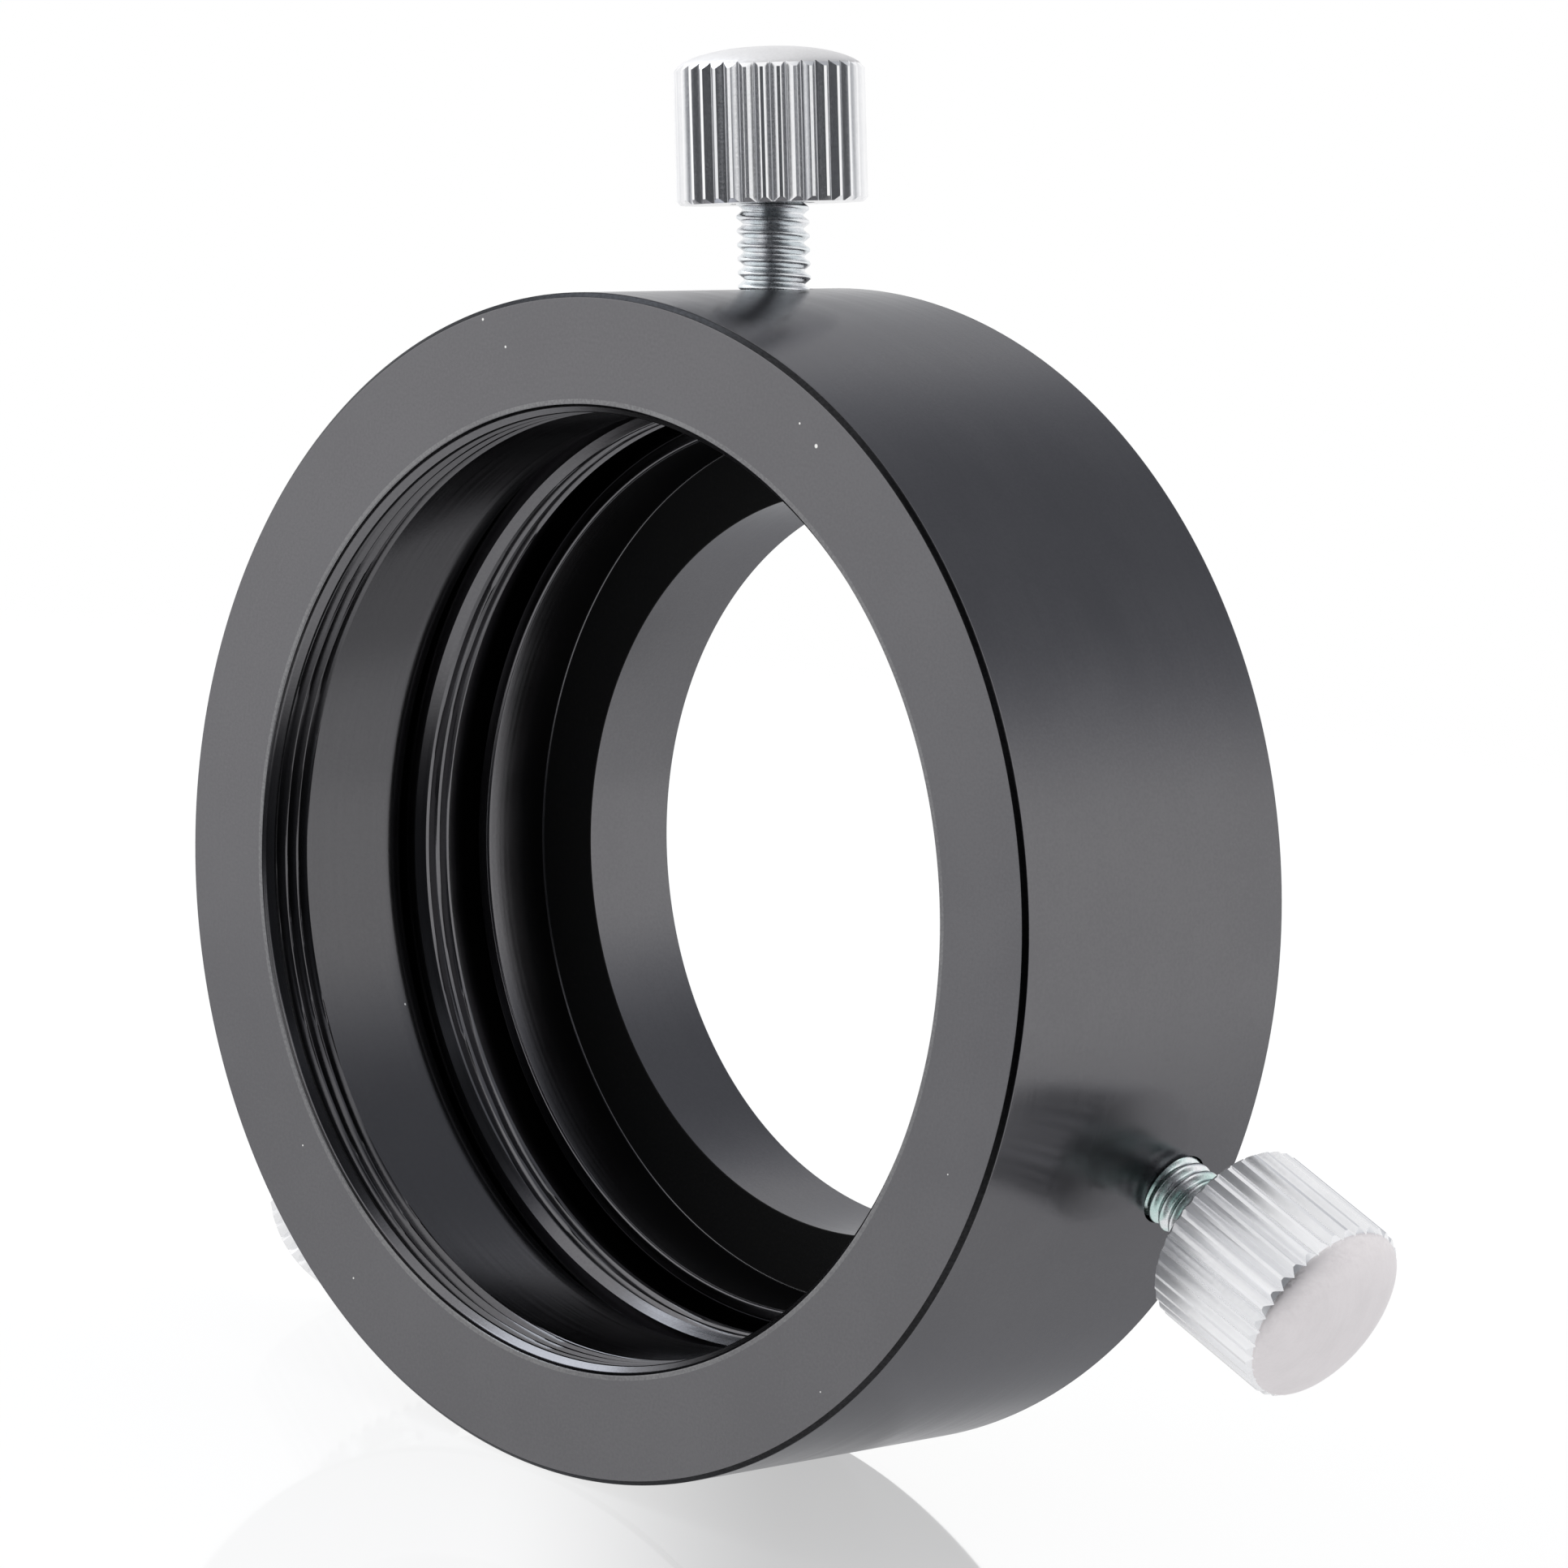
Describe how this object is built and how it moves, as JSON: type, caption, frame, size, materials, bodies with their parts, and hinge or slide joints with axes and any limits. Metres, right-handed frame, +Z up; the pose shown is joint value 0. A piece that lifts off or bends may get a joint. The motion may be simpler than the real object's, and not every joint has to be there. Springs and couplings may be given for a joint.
{
  "type": "camera rotator",
  "caption": "Black anodised ring coupling for a telescope: a captive inner ring turns the camera about the optical axis and is locked by knurled thumbscrews.",
  "frame": {"origin": "on the table, under the middle of the part's bounding box", "axes": "+Y along the optical axis, from the telescope side (the front face looks along -Y) to the camera side; +Z up; the part stands on its rim and leans about 10 degrees over, until one knob touches the table"},
  "size_m": [0.0732, 0.0248, 0.0708],
  "materials": {
    "housing_anodised": "satin black anodised, turned",
    "ring_anodised": "satin black anodised, turned",
    "adapter_anodised": "satin black anodised, turned",
    "knob_aluminium": "bright turned, with straight-cut flutes and a matte end",
    "stud_zinc": "zinc plated, threaded",
    "tip_nylon": "natural nylon"
  },
  "bodies": {
    "housing": {"outer_ring": "housing_anodised"},
    "rotor": {"rotating_ring": "ring_anodised", "camera_adapter": "adapter_anodised"},
    "top_tip": {"tip_top": "tip_nylon"},
    "top_screw": {"stud_top": "stud_zinc", "knob_top": "knob_aluminium"},
    "right_tip": {"tip_right": "tip_nylon"},
    "right_screw": {"stud_right": "stud_zinc", "knob_right": "knob_aluminium"},
    "left_tip": {"tip_left": "tip_nylon"},
    "left_screw": {"stud_left": "stud_zinc", "knob_left": "knob_aluminium"}
  },
  "joints": [
    {"name": "camera_rotation", "type": "hinge", "parent": "housing", "child": "rotor", "pos_m": [-0.00287, 0.00211, 0.0295], "axis": [0, 1, 0], "continuous": true},
    {"name": "top_tip_travel", "type": "slide", "parent": "housing", "child": "top_tip", "axis": [-0.176, 0, 0.9844], "range_m": [-0.00052, 0.00122]},
    {"name": "top_screw_turn", "type": "hinge", "parent": "top_tip", "child": "top_screw", "pos_m": [-0.00806, 0.00211, 0.05854], "axis": [-0.176, 0, 0.9844], "range_deg": [-275, 636]},
    {"name": "right_tip_travel", "type": "slide", "parent": "housing", "child": "right_tip", "axis": [0.9405, 0, -0.3398], "range_m": [0, 0.00175]},
    {"name": "right_screw_turn", "type": "hinge", "parent": "right_tip", "child": "right_screw", "pos_m": [0.02488, 0.00211, 0.01948], "axis": [0.9405, 0, -0.3398], "range_deg": [0, 905]},
    {"name": "left_tip_travel", "type": "slide", "parent": "housing", "child": "left_tip", "axis": [-0.7645, 0, -0.6446], "range_m": [0, 0.00175]},
    {"name": "left_screw_turn", "type": "hinge", "parent": "left_tip", "child": "left_screw", "pos_m": [-0.02542, 0.00211, 0.01048], "axis": [-0.7645, 0, -0.6446], "range_deg": [0, 905]}
  ],
  "couplings": [
    {"joint": "top_screw_turn", "follows": "top_tip_travel", "rad_per_m": 8976},
    {"joint": "right_screw_turn", "follows": "right_tip_travel", "rad_per_m": 8976},
    {"joint": "left_screw_turn", "follows": "left_tip_travel", "rad_per_m": 8976}
  ]
}
